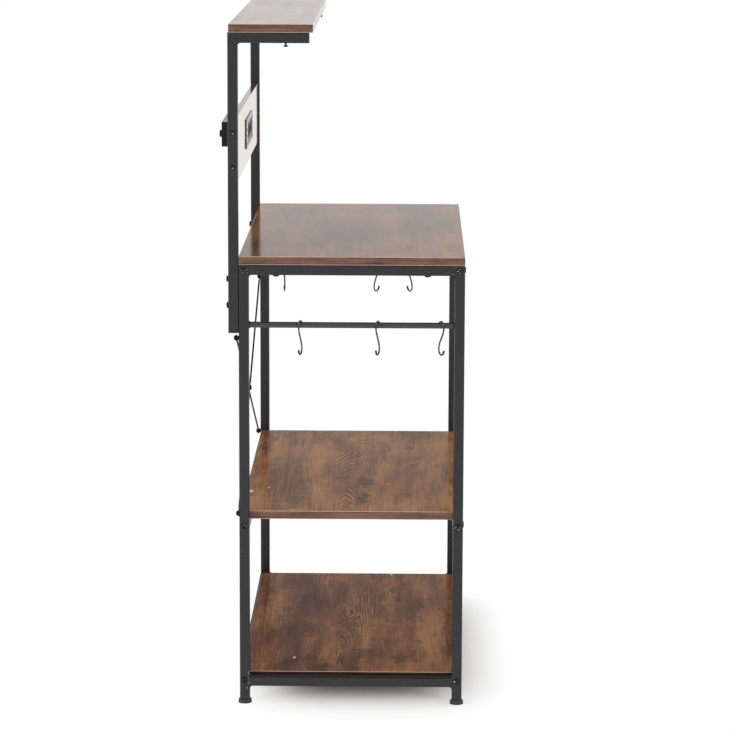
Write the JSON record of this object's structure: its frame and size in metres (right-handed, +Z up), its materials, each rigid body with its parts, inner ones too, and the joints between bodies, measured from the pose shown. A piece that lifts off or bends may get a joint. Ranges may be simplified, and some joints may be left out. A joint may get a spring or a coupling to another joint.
{
  "type": "kitchen shelving unit",
  "caption": "Kitchen shelving unit: black tube frame, wood-look worktop, lower shelves, rear hutch with top shelf and outlet panel, side rails with S-hooks, rod cross and screw feet.",
  "frame": {"origin": "on the floor, under the middle of the whole unit's bounding box", "axes": "+Z up, -Y toward the front of the unit, +X to the right seen from the front, along the unit's length"},
  "size_m": [0.807, 0.4566, 1.222],
  "materials": {
    "black_powder_coated_steel": "satin",
    "black_zinc_bolts": "satin",
    "painted_wire": "satin",
    "brown_wood_laminate": "glossy laminate",
    "black_plastic": "satin",
    "foot_plastic": "matte"
  },
  "bodies": {
    "unit": {"left_end_frame": "black_powder_coated_steel", "right_end_frame": "black_powder_coated_steel", "left_hutch_frame": "black_powder_coated_steel", "right_hutch_frame": "black_powder_coated_steel", "worktop": "brown_wood_laminate", "top_shelf": "brown_wood_laminate", "middle_shelf": "brown_wood_laminate", "bottom_shelf": "brown_wood_laminate", "worktop_back_rail": "black_powder_coated_steel", "worktop_front_rail": "black_powder_coated_steel", "middle_back_rail": "black_powder_coated_steel", "middle_front_rail": "black_powder_coated_steel", "bottom_back_rail": "black_powder_coated_steel", "bottom_front_rail": "black_powder_coated_steel", "outlet_panel": "brown_wood_laminate", "power_bezel": "black_plastic", "socket_plate": "black_plastic", "power_housing": "black_plastic", "cord_gland": "black_plastic", "rising_brace_rod": "black_powder_coated_steel", "falling_brace_rod": "black_powder_coated_steel", "brace_centre_bolt": "black_zinc_bolts", "rising_rod_lower_bolt": "black_zinc_bolts", "rising_rod_upper_bolt": "black_zinc_bolts", "falling_rod_lower_bolt": "black_zinc_bolts", "falling_rod_upper_bolt": "black_zinc_bolts", "back_left_foot_insert": "foot_plastic", "back_right_foot_insert": "foot_plastic", "front_left_foot_insert": "foot_plastic", "front_right_foot_insert": "foot_plastic", "worktop_back_left_bolt": "black_zinc_bolts", "worktop_back_right_bolt": "black_zinc_bolts", "worktop_front_left_bolt": "black_zinc_bolts", "worktop_front_right_bolt": "black_zinc_bolts", "middle_back_left_bolt": "black_zinc_bolts", "middle_back_right_bolt": "black_zinc_bolts", "middle_front_left_bolt": "black_zinc_bolts", "middle_front_right_bolt": "black_zinc_bolts", "bottom_back_left_bolt": "black_zinc_bolts", "bottom_back_right_bolt": "black_zinc_bolts", "bottom_front_left_bolt": "black_zinc_bolts", "bottom_front_right_bolt": "black_zinc_bolts", "hutch_left_upper_bolt": "black_zinc_bolts", "hutch_left_lower_bolt": "black_zinc_bolts", "hutch_right_upper_bolt": "black_zinc_bolts", "hutch_right_lower_bolt": "black_zinc_bolts", "panel_left_upper_bolt": "black_zinc_bolts", "panel_left_lower_bolt": "black_zinc_bolts", "panel_right_upper_bolt": "black_zinc_bolts", "panel_right_lower_bolt": "black_zinc_bolts"},
    "back_left_foot": {"back_left_foot": "foot_plastic"},
    "back_right_foot": {"back_right_foot": "foot_plastic"},
    "front_left_foot": {"front_left_foot": "foot_plastic"},
    "front_right_foot": {"front_right_foot": "foot_plastic"},
    "left_hook_1": {"left_hook_1": "painted_wire"},
    "left_hook_2": {"left_hook_2": "painted_wire"},
    "left_hook_3": {"left_hook_3": "painted_wire"},
    "right_hook_1": {"right_hook_1": "painted_wire"},
    "right_hook_2": {"right_hook_2": "painted_wire"},
    "right_hook_3": {"right_hook_3": "painted_wire"}
  },
  "joints": [
    {"name": "back_left_foot_screw", "type": "slide", "parent": "unit", "child": "back_left_foot", "axis": [0, 0, -1], "range_m": [0, 0.01]},
    {"name": "back_right_foot_screw", "type": "slide", "parent": "unit", "child": "back_right_foot", "axis": [0, 0, -1], "range_m": [0, 0.01]},
    {"name": "front_left_foot_screw", "type": "slide", "parent": "unit", "child": "front_left_foot", "axis": [0, 0, -1], "range_m": [0, 0.01]},
    {"name": "front_right_foot_screw", "type": "slide", "parent": "unit", "child": "front_right_foot", "axis": [0, 0, -1], "range_m": [0, 0.01]},
    {"name": "left_hook_1_swing", "type": "hinge", "parent": "unit", "child": "left_hook_1", "pos_m": [-0.391, 0.0663, 0.691], "axis": [0, 1, 0], "range_deg": [-75, 75]},
    {"name": "left_hook_2_swing", "type": "hinge", "parent": "unit", "child": "left_hook_2", "pos_m": [-0.391, -0.0709, 0.691], "axis": [0, 1, 0], "range_deg": [-75, 75]},
    {"name": "left_hook_3_swing", "type": "hinge", "parent": "unit", "child": "left_hook_3", "pos_m": [-0.391, -0.1837, 0.691], "axis": [0, 1, 0], "range_deg": [-75, 75]},
    {"name": "right_hook_1_swing", "type": "hinge", "parent": "unit", "child": "right_hook_1", "pos_m": [0.391, 0.1261, 0.691], "axis": [0, 1, 0], "range_deg": [-75, 75]},
    {"name": "right_hook_2_swing", "type": "hinge", "parent": "unit", "child": "right_hook_2", "pos_m": [0.391, -0.0599, 0.691], "axis": [0, 1, 0], "range_deg": [-75, 75]},
    {"name": "right_hook_3_swing", "type": "hinge", "parent": "unit", "child": "right_hook_3", "pos_m": [0.391, -0.1269, 0.691], "axis": [0, 1, 0], "range_deg": [-75, 75]}
  ]
}
